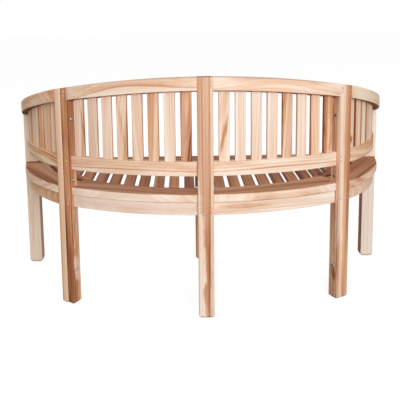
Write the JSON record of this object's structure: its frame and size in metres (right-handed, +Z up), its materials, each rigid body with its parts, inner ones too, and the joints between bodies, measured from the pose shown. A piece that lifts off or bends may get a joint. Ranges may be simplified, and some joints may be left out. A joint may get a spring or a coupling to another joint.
{
  "type": "garden sofa",
  "caption": "Curved slatted garden sofa in solid teak: crowned, rounded back that sweeps down into the arms, slatted seat, straight front edge, square legs.",
  "frame": {"origin": "on the floor under the middle of the bounding box", "axes": "+Z up, -Y to the front of the seat, +X to the sitter's left, which is the right as seen from the front"},
  "size_m": [1.4938, 0.655, 0.85],
  "materials": {
    "teak_pale": "smooth sanded, untreated, pale sapwood",
    "teak_honey": "smooth sanded, untreated, honey coloured",
    "teak_tan": "smooth sanded, untreated, tan",
    "teak_brown": "smooth sanded, untreated, brown heartwood",
    "bolt_steel": "satin stainless steel"
  },
  "bodies": {
    "root": {"centre_rear_post": "teak_pale", "back_post_left": "teak_brown", "back_post_right": "teak_pale", "arm_rear_post_left": "teak_pale", "arm_rear_post_right": "teak_honey", "front_post_left": "teak_pale", "front_post_right": "teak_pale", "centre_front_leg": "teak_tan", "top_rail_left": "teak_honey", "top_rail_right": "teak_honey", "arm_rail_left": "teak_tan", "arm_rail_right": "teak_pale", "lower_rail_left": "teak_pale", "lower_rail_right": "teak_pale", "arm_lower_rail_left": "teak_honey", "arm_lower_rail_right": "teak_honey", "back_slats_left": "teak_honey", "back_slats_right": "teak_honey", "arm_slats_left": "teak_honey", "arm_slats_right": "teak_honey", "seat_rear_rim_left": "teak_pale", "seat_rear_rim_right": "teak_pale", "arm_seat_rim_left": "teak_honey", "arm_seat_rim_right": "teak_honey", "arm_seat_board_left": "teak_honey", "arm_seat_board_right": "teak_honey", "seat_front_rim": "teak_honey", "seat_slats_left": "teak_tan", "seat_slats_right": "teak_tan", "seat_middle_slat": "teak_tan", "rear_apron_left": "teak_pale", "rear_apron_right": "teak_honey", "arm_apron_left": "teak_tan", "arm_apron_right": "teak_honey", "front_apron_left": "teak_honey", "front_apron_right": "teak_honey", "middle_bearer": "teak_tan", "side_bearer_left": "teak_tan", "side_bearer_right": "teak_tan", "corner_blocks": "teak_tan", "joint_pins": "teak_brown", "post_bolts": "bolt_steel", "bolt_washers": "bolt_steel", "bolt_nuts": "bolt_steel"}
  },
  "joints": []
}
